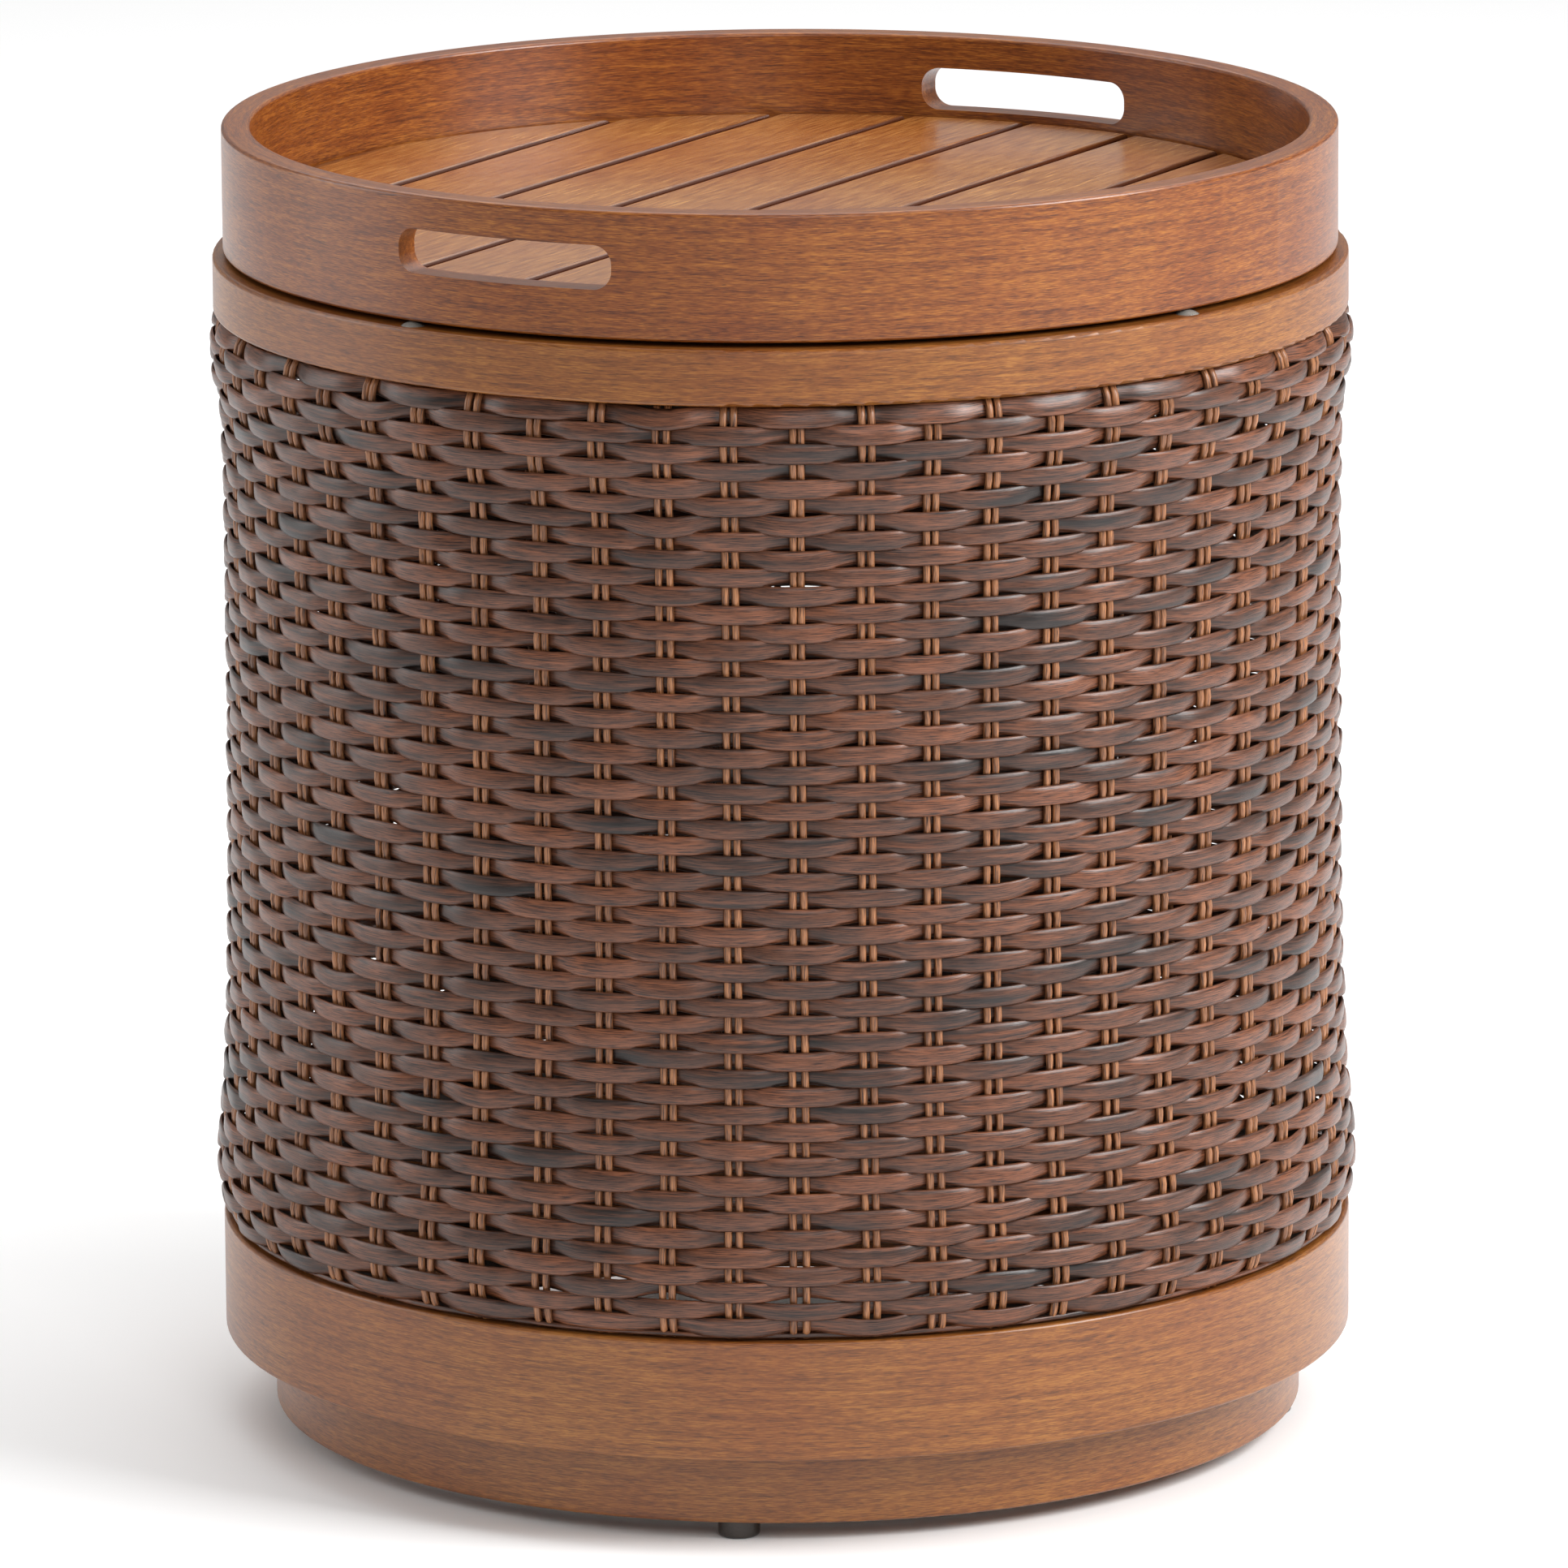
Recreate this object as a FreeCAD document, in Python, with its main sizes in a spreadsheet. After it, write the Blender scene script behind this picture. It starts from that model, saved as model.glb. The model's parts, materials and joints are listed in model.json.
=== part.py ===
# Round drum side table: a lift-off slatted tray on a woven wicker drum with a wooden base.
# Millimetres, +Z up. The origin is on the floor, in the middle of the table, with the four
# levelling feet standing at Z = 0. The tray's slats run along Y and its two hand slots
# look out along -Y and +Y.
import FreeCAD, Part
import math
import os
import Sketcher

SIZES = [
    # heights, from the floor up
    ("foot_height", 8.0, "clear height under the plinth"),
    ("plinth_height", 33.2, "recessed plinth"),
    ("band_height", 51.8, "wide wooden band above the plinth"),
    ("wicker_height", 398.5, "woven drum wall"),
    ("ring_height", 24.0, "wooden ring that caps the drum"),
    ("tray_gap", 2.0, "gap held open by the bumpers under the tray"),
    ("rim_height", 54.0, "tray rim"),
    # the tray rim's radius sets the table's; the steps follow it down to the plinth
    ("rim_radius", 240.0, "tray rim outside"),
    ("rim_wall", 12.5, "tray rim, outside to inside"),
    ("ring_step", 4.6, "cap ring outside, beyond the tray rim"),
    ("ring_width", 30.0, "cap ring, outside to inside"),
    ("band_step", 1.4, "band outside, beyond the cap ring"),
    ("band_width", 38.0, "band, outside to inside"),
    ("plinth_inset", 21.7, "plinth outside, in from the band"),
    ("plinth_width", 24.0, "plinth, outside to inside"),
    ("edge_round", 1.6, "eased edges of the wooden rings"),
    # tray deck
    ("ledge_width", 12.5, "ledge glued inside the rim, under the slat ends"),
    ("ledge_height", 7.8, "ledge and battens"),
    ("slat_thickness", 10.0, "slats"),
    ("slat_pitch", 56.0, "from one slat to the next"),
    ("slat_gap", 4.0, "open joint between two slats"),
    ("slat_end_gap", 1.5, "open joint between slat ends and rim"),
    ("slat_round", 1.8, "eased top edges of the slats"),
    ("batten_offset", 90.0, "batten centre line from the middle of the tray"),
    ("batten_width", 34.0, "battens"),
    # hand slots
    ("slot_width", 102.0, "hand slot, end to end"),
    ("slot_height", 18.8, "hand slot, low edge to high edge"),
    ("slot_rise", 20.7, "low edge of the hand slot above the rim's low edge"),
    ("slot_corner", 8.0, "corner radius of the hand slot"),
    # drum frame
    ("hoop_width", 22.0, "hoops, outside to inside"),
    ("hoop_height", 5.0, "hoops"),
    ("post_inset", 13.0, "middle of the posts, in from the hoops' outside"),
    ("post_side", 16.0, "square tube posts"),
    ("post_wall", 1.5, "wall of the posts"),
    # wicker outline
    ("wicker_wall", 6.0, "thickness of the weave"),
    ("shoulder_step", 1.2, "shoulder, beyond the cap ring"),
    ("shoulder_drop", 44.0, "foot of the shoulder below the cap ring"),
    ("waist_inset", 3.6, "straight waist, in from the cap ring"),
    ("belly_step", 2.2, "belly near the base, beyond the band"),
    ("belly_height", 30.0, "belly above the low edge of the wicker"),
    ("wicker_tuck", 4.5, "how far the edges turn in from shoulder and belly"),
    # bumpers
    ("bumper_inset", 2.0, "middle of the bumpers, in from the tray rim's outside"),
    ("bumper_radius", 5.0, "clear domes"),
    ("bumper_first", -15.3, "direction of the first bumper, degrees"),
    ("bumper_second", 76.0, "direction of the second bumper, degrees"),
    ("bumper_third", 169.0, "direction of the third bumper, degrees"),
    ("bumper_fourth", 259.1, "direction of the fourth bumper, degrees"),
    # levelling feet
    ("foot_phase", 23.5, "direction of the first foot, degrees"),
    ("pad_radius", 9.0, "foot pad"),
    ("pad_round", 1.8, "round at the bottom of the pad"),
    ("stud_radius", 3.0, "threaded stud, over its thread"),
    ("stud_length", 20.0, "stud above the pad"),
    ("insert_radius", 5.0, "threaded insert"),
    ("insert_length", 23.0, "threaded insert"),
    # screws
    ("screw_radius", 2.0, "long wood screws"),
    ("head_radius", 4.0, "heads of the long screws"),
    ("head_height", 2.6, "heads of the long screws"),
    ("screw_grip", 16.0, "length of a long screw in the second piece"),
    ("plinth_bore", 12.0, "depth of the counterbores under the plinth"),
    ("deck_screw_radius", 1.75, "short screws of the deck"),
    ("deck_head_radius", 3.5, "heads of the short screws"),
    ("deck_head_height", 2.2, "heads of the short screws"),
    ("deck_bore", 2.6, "depth of the counterbores under the battens"),
    ("deck_grip", 7.0, "length of a short screw in its slat"),
    ("end_screw_inset", 13.0, "screw from the straight edge of an outer slat"),
    # clearances
    ("seat_gap", 0.3, "gap between pieces that come apart"),
    ("screw_gap", 0.1, "around shanks and inserts, on the radius"),
    ("thread_gap", 0.08, "around the studs, on the radius"),
    ("head_gap", 0.6, "around screw heads in their counterbores, on the radius"),
]
POST_COUNT = 6
FOOT_COUNT = 4
PLINTH_SCREW_COUNT = 8
SLATS_PER_SIDE = 4

doc = FreeCAD.newDocument("drum_side_table")
sheet = doc.addObject("Spreadsheet::Sheet", "sizes")
for row, (alias, value, note) in enumerate(SIZES, start=1):
    sheet.set(f"A{row}", note)
    sheet.set(f"B{row}", str(value))
    sheet.setAlias(f"B{row}", alias)
doc.recompute()

# Levels and radii that follow from the sheet, as expressions.
PLINTH_LOW = "sizes.foot_height"
BAND_LOW = f"{PLINTH_LOW} + sizes.plinth_height"
WICKER_LOW = f"{BAND_LOW} + sizes.band_height"
RING_LOW = f"{WICKER_LOW} + sizes.wicker_height"
RING_HIGH = f"{RING_LOW} + sizes.ring_height"
TRAY_LOW = f"{RING_HIGH} + sizes.tray_gap"
TRAY_HIGH = f"{TRAY_LOW} + sizes.rim_height"
DECK_LOW = f"{TRAY_LOW} + sizes.ledge_height"
DECK_HIGH = f"{DECK_LOW} + sizes.slat_thickness"
UPPER_HOOP_LOW = f"{RING_LOW} - sizes.hoop_height"
LOWER_HOOP_HIGH = f"{WICKER_LOW} + sizes.hoop_height"
RING_RADIUS = "sizes.rim_radius + sizes.ring_step"
BAND_RADIUS = f"{RING_RADIUS} + sizes.band_step"
PLINTH_RADIUS = f"{BAND_RADIUS} - sizes.plinth_inset"
WAIST_RADIUS = f"{RING_RADIUS} - sizes.waist_inset"
HOOP_RADIUS = f"{WAIST_RADIUS} - sizes.wicker_wall - sizes.seat_gap"
POST_CIRCLE = f"{HOOP_RADIUS} - sizes.post_inset"
RIM_INSIDE = "sizes.rim_radius - sizes.rim_wall"
LEDGE_INSIDE = f"{RIM_INSIDE} - sizes.ledge_width"
DECK_RADIUS = f"{RIM_INSIDE} - sizes.slat_end_gap"
BATTEN_RADIUS = f"{LEDGE_INSIDE} - sizes.seat_gap"
HOOP_SCREW_CIRCLE = f"{HOOP_RADIUS} - sizes.hoop_width / 2"
FOOT_CIRCLE = f"{PLINTH_RADIUS} - sizes.plinth_width / 2"
PLINTH_SCREW_CIRCLE = f"({PLINTH_RADIUS} + {BAND_RADIUS} - sizes.band_width) / 2"
PAD_HEIGHT = "sizes.foot_height - sizes.seat_gap"

subparts = []


def size(expression):
    """Value of an expression of the sheet's cells."""
    return float(sheet.evalExpression(expression.replace("sizes.", "")))


def new_body(label, turn=0.0, several=False):
    """A sub-part, turned about the table's axis."""
    body = doc.addObject("PartDesign::Body", label)
    body.Label = label
    body.AllowCompound = several
    body.Placement = FreeCAD.Placement(FreeCAD.Vector(0, 0, 0), FreeCAD.Rotation(FreeCAD.Vector(0, 0, 1), turn))
    subparts.append(body)
    return body


def origin_feature(body, role):
    """One of the body's own origin planes or axes."""
    return next(item for item in body.Origin.OriginFeatures if item.Role == role)


def attach(feature, body, role, across="0", along="0", lift="0"):
    """Fix a feature to an origin plane of its body, at bound offsets."""
    feature.AttachmentSupport = [(origin_feature(body, role), "")]
    feature.MapMode = "FlatFace"
    for axis, expression in (("x", across), ("y", along), ("z", lift)):
        if expression != "0":
            feature.setExpression(f"AttachmentOffset.Base.{axis}", expression)


def bind_distance(sketch, kind, point, expression):
    """Tie one coordinate of a sketch point to the sheet."""
    geometry, end = point
    value = size(expression)
    if abs(value) < 1e-9:
        axis = -2 if kind == "DistanceX" else -1
        sketch.addConstraint(Sketcher.Constraint("PointOnObject", geometry, end, axis))
    elif value > 0:
        index = sketch.addConstraint(Sketcher.Constraint(kind, -1, 1, geometry, end, value))
        sketch.setExpression(f"Constraints[{index}]", expression)
    else:
        index = sketch.addConstraint(Sketcher.Constraint(kind, geometry, end, -1, 1, -value))
        sketch.setExpression(f"Constraints[{index}]", f"-({expression})")


def polygon(sketch, corners):
    """A closed outline of straight lines, each corner bound to the sheet."""
    points = [FreeCAD.Vector(size(across), size(up), 0) for across, up in corners]
    for index, point in enumerate(points):
        sketch.addGeometry(Part.LineSegment(point, points[(index + 1) % len(points)]), False)
    for index in range(len(points)):
        following = (index + 1) % len(points)
        sketch.addConstraint(Sketcher.Constraint("Coincident", index, 2, following, 1))
    for index, (across, up) in enumerate(corners):
        bind_distance(sketch, "DistanceX", (index, 1), across)
        bind_distance(sketch, "DistanceY", (index, 1), up)


def strip(sketch, near, far, radius):
    """A strip between two lines near and far from the Y axis, with ends on a circle.

    With no far line, the strip reaches the circle."""
    circle = Part.Circle(FreeCAD.Vector(0, 0, 0), FreeCAD.Vector(0, 0, 1), size(radius))
    near_value = size(near)
    near_angle = math.acos(near_value / size(radius))
    near_end = math.sqrt(size(radius) ** 2 - near_value ** 2)
    low = FreeCAD.Vector(near_value, -near_end, 0)
    high = FreeCAD.Vector(near_value, near_end, 0)
    sketch.addGeometry(Part.LineSegment(low, high), False)
    if far is None:
        sketch.addGeometry(Part.ArcOfCircle(circle, -near_angle, near_angle), False)
        sketch.addConstraint(Sketcher.Constraint("Coincident", 1, 1, 0, 1))
        sketch.addConstraint(Sketcher.Constraint("Coincident", 1, 2, 0, 2))
    else:
        far_value = size(far)
        far_angle = math.acos(far_value / size(radius))
        far_end = math.sqrt(size(radius) ** 2 - far_value ** 2)
        far_high = FreeCAD.Vector(far_value, far_end, 0)
        far_low = FreeCAD.Vector(far_value, -far_end, 0)
        sketch.addGeometry(Part.ArcOfCircle(circle, far_angle, near_angle), False)
        sketch.addGeometry(Part.LineSegment(far_high, far_low), False)
        sketch.addGeometry(Part.ArcOfCircle(circle, -near_angle, -far_angle), False)
        for first, second in (((0, 2), (1, 2)), ((1, 1), (2, 1)), ((2, 2), (3, 2)), ((3, 1), (0, 1))):
            sketch.addConstraint(Sketcher.Constraint("Coincident", *first, *second))
        sketch.addConstraint(Sketcher.Constraint("Vertical", 2))
        sketch.addConstraint(Sketcher.Constraint("Coincident", 3, 3, -1, 1))
        sketch.addConstraint(Sketcher.Constraint("Equal", 1, 3))
        bind_distance(sketch, "DistanceX", (2, 1), far)
    sketch.addConstraint(Sketcher.Constraint("Vertical", 0))
    sketch.addConstraint(Sketcher.Constraint("Coincident", 1, 3, -1, 1))
    index = sketch.addConstraint(Sketcher.Constraint("Radius", 1, size(radius)))
    sketch.setExpression(f"Constraints[{index}]", radius)
    bind_distance(sketch, "DistanceX", (0, 1), near)


def new_sketch(body, name, role, **offsets):
    """A sketch on an origin plane of its body."""
    sketch = body.newObject("Sketcher::SketchObject", name)
    attach(sketch, body, role, **offsets)
    return sketch


def add_ring(body, outside, inside, low, high):
    """Turn a rectangular section about the table's axis."""
    sketch = new_sketch(body, f"{body.Label}_section", "XZ_Plane")
    polygon(sketch, [(inside, low), (outside, low), (outside, high), (inside, high)])
    ring = body.newObject("PartDesign::Revolution", f"{body.Label}_turned")
    ring.Profile = sketch
    ring.ReferenceAxis = (sketch, ["V_Axis"])
    ring.Angle = 360
    sketch.Visibility = False
    doc.recompute()
    return ring


def add_slab(body, draw, low, thickness):
    """Raise a flat outline, drawn by draw(sketch), by a thickness."""
    sketch = new_sketch(body, f"{body.Label}_outline", "XY_Plane", lift=low)
    draw(sketch)
    slab = body.newObject("PartDesign::Pad", f"{body.Label}_raised")
    slab.Profile = sketch
    slab.setExpression("Length", thickness)
    sketch.Visibility = False
    doc.recompute()
    return slab


def add_cylinder(body, name, kind, radius, height, across, along, low):
    """An upright cylinder added to or cut from its body; kind is Additive or Subtractive."""
    cylinder = body.newObject(f"PartDesign::{kind}Cylinder", f"{body.Label}_{name}")
    attach(cylinder, body, "XY_Plane", across=across, along=along, lift=low)
    cylinder.setExpression("Radius", radius)
    cylinder.setExpression("Height", height)
    doc.recompute()
    return cylinder


def repeat_round(body, features, count):
    """Repeat features evenly around the table's axis."""
    pattern = body.newObject("PartDesign::PolarPattern", f"{features[0].Name}_pattern")
    pattern.Originals = features
    pattern.Axis = (origin_feature(body, "Z_Axis"), [""])
    pattern.Angle = 360
    pattern.Occurrences = count
    body.Tip = pattern
    doc.recompute()
    return pattern


def round_edges(body, radius, wanted):
    """Ease the edges of the body that the function wanted(edge) picks."""
    base = body.Tip
    names = [f"Edge{index}" for index, edge in enumerate(base.Shape.Edges, start=1) if wanted(edge)]
    fillet = body.newObject("PartDesign::Fillet", f"{body.Label}_round")
    fillet.Base = (base, names)
    fillet.setExpression("Radius", radius)
    doc.recompute()
    return fillet


def is_full_circle(edge):
    return edge.Curve.TypeId == "Part::GeomCircle" and edge.isClosed()


def polar(radius, degrees):
    """Expressions for a point's X and Y from a radius and a direction in degrees."""
    return f"({radius}) * cos({degrees} * 1deg)", f"({radius}) * sin({degrees} * 1deg)"


def long_screws(label, circle, seat, thickness, upward, turn, count):
    """A ring of screws whose heads bear on the level seat and clamp a piece of that thickness."""
    body = new_body(label, turn, several=True)
    length = f"{thickness} + sizes.screw_grip"
    if upward:
        head_low = f"{seat} - sizes.head_height"
        shank_low = seat
    else:
        head_low = seat
        shank_low = f"{seat} - ({length})"
    head = add_cylinder(body, "head", "Additive", "sizes.head_radius", "sizes.head_height", circle, "0", head_low)
    shank = add_cylinder(body, "shank", "Additive", "sizes.screw_radius", length, circle, "0", shank_low)
    repeat_round(body, [head, shank], count)
    return body


# ---------------------------------------------------------------- drum: plinth and band
plinth = new_body("plinth_ring", size("sizes.foot_phase"))
add_ring(plinth, PLINTH_RADIUS, f"{PLINTH_RADIUS} - sizes.plinth_width", PLINTH_LOW, BAND_LOW)
round_edges(plinth, "sizes.edge_round", is_full_circle)
insert_hole = add_cylinder(plinth, "insert_hole", "Subtractive", "sizes.insert_radius + sizes.screw_gap",
                           "sizes.insert_length", FOOT_CIRCLE, "0", PLINTH_LOW)
repeat_round(plinth, [insert_hole], FOOT_COUNT)
HALF_STEP = 180 / PLINTH_SCREW_COUNT
screw_x, screw_y = polar(PLINTH_SCREW_CIRCLE, HALF_STEP)
shank_hole = add_cylinder(plinth, "shank_hole", "Subtractive", "sizes.screw_radius + sizes.screw_gap",
                          "sizes.plinth_height", screw_x, screw_y, PLINTH_LOW)
head_hole = add_cylinder(plinth, "head_hole", "Subtractive", "sizes.head_radius + sizes.head_gap",
                         "sizes.plinth_bore", screw_x, screw_y, PLINTH_LOW)
repeat_round(plinth, [shank_hole, head_hole], PLINTH_SCREW_COUNT)

band = new_body("base_band", size("sizes.foot_phase"))
add_ring(band, BAND_RADIUS, f"{BAND_RADIUS} - sizes.band_width", BAND_LOW, WICKER_LOW)
round_edges(band, "sizes.edge_round", is_full_circle)
low_hole = add_cylinder(band, "plinth_screw_hole", "Subtractive", "sizes.screw_radius + sizes.screw_gap",
                        "sizes.screw_grip + sizes.seat_gap", screw_x, screw_y, BAND_LOW)
repeat_round(band, [low_hole], PLINTH_SCREW_COUNT)
POST_STEP = 360 / POST_COUNT
hoop_x, hoop_y = polar(HOOP_SCREW_CIRCLE, POST_STEP / 2)
high_hole = add_cylinder(band, "hoop_screw_hole", "Subtractive", "sizes.screw_radius + sizes.screw_gap",
                         "sizes.screw_grip + sizes.seat_gap", hoop_x, hoop_y,
                         f"{WICKER_LOW} - sizes.screw_grip - sizes.seat_gap")
repeat_round(band, [high_hole], POST_COUNT)

long_screws("plinth_screws", PLINTH_SCREW_CIRCLE, f"{PLINTH_LOW} + sizes.plinth_bore",
            "sizes.plinth_height - sizes.plinth_bore", True,
            size("sizes.foot_phase") + HALF_STEP, PLINTH_SCREW_COUNT)

# ---------------------------------------------------------------- drum: metal frame
for label, low in (("lower_hoop", WICKER_LOW), ("upper_hoop", UPPER_HOOP_LOW)):
    hoop = new_body(label, size("sizes.foot_phase"))
    add_ring(hoop, HOOP_RADIUS, f"{HOOP_RADIUS} - sizes.hoop_width", low, f"{low} + sizes.hoop_height")
    hole = add_cylinder(hoop, "screw_hole", "Subtractive", "sizes.screw_radius + sizes.screw_gap",
                        "sizes.hoop_height", hoop_x, hoop_y, low)
    repeat_round(hoop, [hole], POST_COUNT)

long_screws("lower_hoop_screws", HOOP_SCREW_CIRCLE, LOWER_HOOP_HIGH, "sizes.hoop_height", False,
            size("sizes.foot_phase") + POST_STEP / 2, POST_COUNT)
long_screws("cap_ring_screws", HOOP_SCREW_CIRCLE, UPPER_HOOP_LOW, "sizes.hoop_height", True,
            size("sizes.foot_phase") + POST_STEP / 2, POST_COUNT)

for number in range(POST_COUNT):
    post = new_body(f"frame_post_{number + 1}", size("sizes.foot_phase") + number * POST_STEP)
    for name, kind, inset in (("outside", "Additive", "0"), ("inside", "Subtractive", "sizes.post_wall")):
        block = post.newObject(f"PartDesign::{kind}Box", f"{post.Label}_{name}")
        attach(block, post, "XY_Plane", across=f"{POST_CIRCLE} - sizes.post_side / 2 + {inset}",
               along=f"{inset} - sizes.post_side / 2", lift=LOWER_HOOP_HIGH)
        block.setExpression("Length", f"sizes.post_side - 2 * {inset}")
        block.setExpression("Width", f"sizes.post_side - 2 * {inset}")
        block.setExpression("Height", f"sizes.wicker_height - 2 * sizes.hoop_height")
        doc.recompute()

# ---------------------------------------------------------------- drum: wicker wall
def wicker_profile(inset):
    """Section of one face of the weave, from the bottom up: a smooth curve that never
    comes further in than its control points, so that it clears the hoops and posts."""
    low = size(WICKER_LOW)
    high = size(RING_LOW)
    tuck = size("sizes.wicker_tuck")
    belly = size(f"{BAND_RADIUS} + sizes.belly_step")
    waist = size(WAIST_RADIUS)
    shoulder = size(f"{RING_RADIUS} + sizes.shoulder_step")
    rise = size("sizes.belly_height")
    drop = size("sizes.shoulder_drop")
    fullness = 0.4
    levels_and_radii = [
        (low, belly - tuck),
        (low + 0.35 * rise, belly + fullness / 2),
        (low + rise, belly + fullness),
        (low + 2 * rise, (belly + waist) / 2),
        (low + 4 * rise, 0.15 * belly + 0.85 * waist),
        (low + 7 * rise, waist),
        (high - 1.6 * drop, waist),
        (high - 0.95 * drop, waist),
        (high - 0.5 * drop, shoulder + 1.5 * fullness),
        (high - 0.2 * drop, shoulder + fullness),
        (high, shoulder - tuck / 2),
    ]
    curve = Part.BSplineCurve()
    curve.buildFromPoles([FreeCAD.Vector(radius - inset, 0, level) for level, radius in levels_and_radii])
    return curve.toShape()


wicker_outside = wicker_profile(0)
wicker_inside = wicker_profile(size("sizes.wicker_wall"))
wicker_edges = [wicker_outside, wicker_inside]
for end in (0, -1):
    corner = wicker_outside.Vertexes[end].Point
    wicker_edges.append(Part.makeLine(corner, wicker_inside.Vertexes[end].Point))
wicker_section = Part.Face(Part.Wire(Part.__sortEdges__(wicker_edges)))
wicker_solid = wicker_section.revolve(FreeCAD.Vector(0, 0, 0), FreeCAD.Vector(0, 0, 1), 360)
wicker = doc.addObject("Part::Feature", "wicker_wall")
wicker.Label = "wicker_wall"
wicker.Shape = wicker_solid
subparts.append(wicker)

# ---------------------------------------------------------------- drum: cap ring and bumpers
cap = new_body("cap_ring", size("sizes.foot_phase"))
add_ring(cap, RING_RADIUS, f"{RING_RADIUS} - sizes.ring_width", RING_LOW, RING_HIGH)
round_edges(cap, "sizes.edge_round", is_full_circle)
cap_hole = add_cylinder(cap, "screw_hole", "Subtractive", "sizes.screw_radius + sizes.screw_gap",
                        "sizes.screw_grip + sizes.seat_gap", hoop_x, hoop_y, RING_LOW)
repeat_round(cap, [cap_hole], POST_COUNT)

bumper_circle = size("sizes.rim_radius - sizes.bumper_inset")
bumper_rise = size("sizes.tray_gap - sizes.seat_gap")
bumper_radius = size("sizes.bumper_radius")
dome_radius = (bumper_radius ** 2 + bumper_rise ** 2) / (2 * bumper_rise)
dome_latitude = math.degrees(math.asin((dome_radius - bumper_rise) / dome_radius))
domes = []
for name in ("first", "second", "third", "fourth"):
    direction = math.radians(size(f"sizes.bumper_{name}"))
    centre = FreeCAD.Vector(bumper_circle * math.cos(direction), bumper_circle * math.sin(direction),
                            size(RING_HIGH) + bumper_rise - dome_radius)
    domes.append(Part.makeSphere(dome_radius, centre, FreeCAD.Vector(0, 0, 1), dome_latitude, 90, 360))
bumpers = doc.addObject("Part::Feature", "tray_bumpers")
bumpers.Label = "tray_bumpers"
bumpers.Shape = Part.makeCompound(domes)
subparts.append(bumpers)

# ---------------------------------------------------------------- levelling feet
for number in range(FOOT_COUNT):
    turn = size("sizes.foot_phase") + number * 360 / FOOT_COUNT
    sleeve = new_body(f"leveller_insert_{number + 1}", turn)
    add_cylinder(sleeve, "outside", "Additive", "sizes.insert_radius", "sizes.insert_length",
                 FOOT_CIRCLE, "0", PLINTH_LOW)
    add_cylinder(sleeve, "thread", "Subtractive", "sizes.stud_radius + sizes.thread_gap", "sizes.insert_length",
                 FOOT_CIRCLE, "0", PLINTH_LOW)
    stud = new_body(f"leveller_stud_{number + 1}", turn)
    add_cylinder(stud, "shank", "Additive", "sizes.stud_radius", "sizes.stud_length", FOOT_CIRCLE, "0", PAD_HEIGHT)
    pad = new_body(f"leveller_pad_{number + 1}", turn)
    add_cylinder(pad, "disc", "Additive", "sizes.pad_radius", PAD_HEIGHT, FOOT_CIRCLE, "0", "0")
    round_edges(pad, "sizes.pad_round",
                lambda edge: is_full_circle(edge) and abs(edge.CenterOfMass.z) < 0.01)

# ---------------------------------------------------------------- tray: rim with hand slots
rim = new_body("tray_rim")
add_ring(rim, "sizes.rim_radius", RIM_INSIDE, TRAY_LOW, TRAY_HIGH)
round_edges(rim, "sizes.edge_round", is_full_circle)
slot_low = f"{TRAY_LOW} + sizes.slot_rise"
slot = rim.newObject("PartDesign::SubtractiveBox", "hand_slot")
attach(slot, rim, "XY_Plane", across="-sizes.slot_width / 2", along="-sizes.rim_radius - sizes.rim_wall",
       lift=slot_low)
slot.setExpression("Length", "sizes.slot_width")
slot.setExpression("Width", "2 * (sizes.rim_radius + sizes.rim_wall)")
slot.setExpression("Height", "sizes.slot_height")
doc.recompute()


def is_slot_corner(edge):
    """The straight edges along Y at the four corners of each hand slot."""
    ends = [vertex.Point for vertex in edge.Vertexes]
    return (len(ends) == 2 and abs(abs(ends[0].x) - size("sizes.slot_width") / 2) < 0.01
            and abs(ends[0].x - ends[1].x) < 0.01 and abs(ends[0].z - ends[1].z) < 0.01)


corners = round_edges(rim, "sizes.slot_corner", is_slot_corner)
corners.Label = "hand_slot_corners"

ledge = new_body("tray_ledge")
add_ring(ledge, RIM_INSIDE, LEDGE_INSIDE, TRAY_LOW, DECK_LOW)

# ---------------------------------------------------------------- tray: slats, battens and screws
def slat_edges(position):
    """Expressions for a slat's straight edges; the outer slat ends at the rim."""
    near = f"{position} * sizes.slat_pitch + sizes.slat_gap / 2"
    if position == SLATS_PER_SIDE - 1:
        return near, None
    return near, f"{position + 1} * sizes.slat_pitch - sizes.slat_gap / 2"


def slat_screw(position):
    """Expression for the distance of a slat's screws from the middle of the tray."""
    if position == SLATS_PER_SIDE - 1:
        return f"{position} * sizes.slat_pitch + sizes.slat_gap / 2 + sizes.end_screw_inset"
    return f"{position + 0.5} * sizes.slat_pitch"


for position in range(SLATS_PER_SIDE):
    near_edge, far_edge = slat_edges(position)
    for number, turn in ((SLATS_PER_SIDE + 1 + position, 0), (SLATS_PER_SIDE - position, 180)):
        slat = new_body(f"tray_slat_{number}", turn)
        add_slab(slat, lambda sketch: strip(sketch, near_edge, far_edge, DECK_RADIUS), DECK_LOW,
                 "sizes.slat_thickness")
        round_edges(slat, "sizes.slat_round",
                    lambda edge: abs(edge.BoundBox.ZMin - size(DECK_HIGH)) < 0.01)
        for name, along in (("front", "-sizes.batten_offset"), ("rear", "sizes.batten_offset")):
            add_cylinder(slat, f"{name}_hole", "Subtractive", "sizes.deck_screw_radius + sizes.screw_gap",
                         "sizes.deck_grip + sizes.seat_gap", slat_screw(position), along, DECK_LOW)

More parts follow.
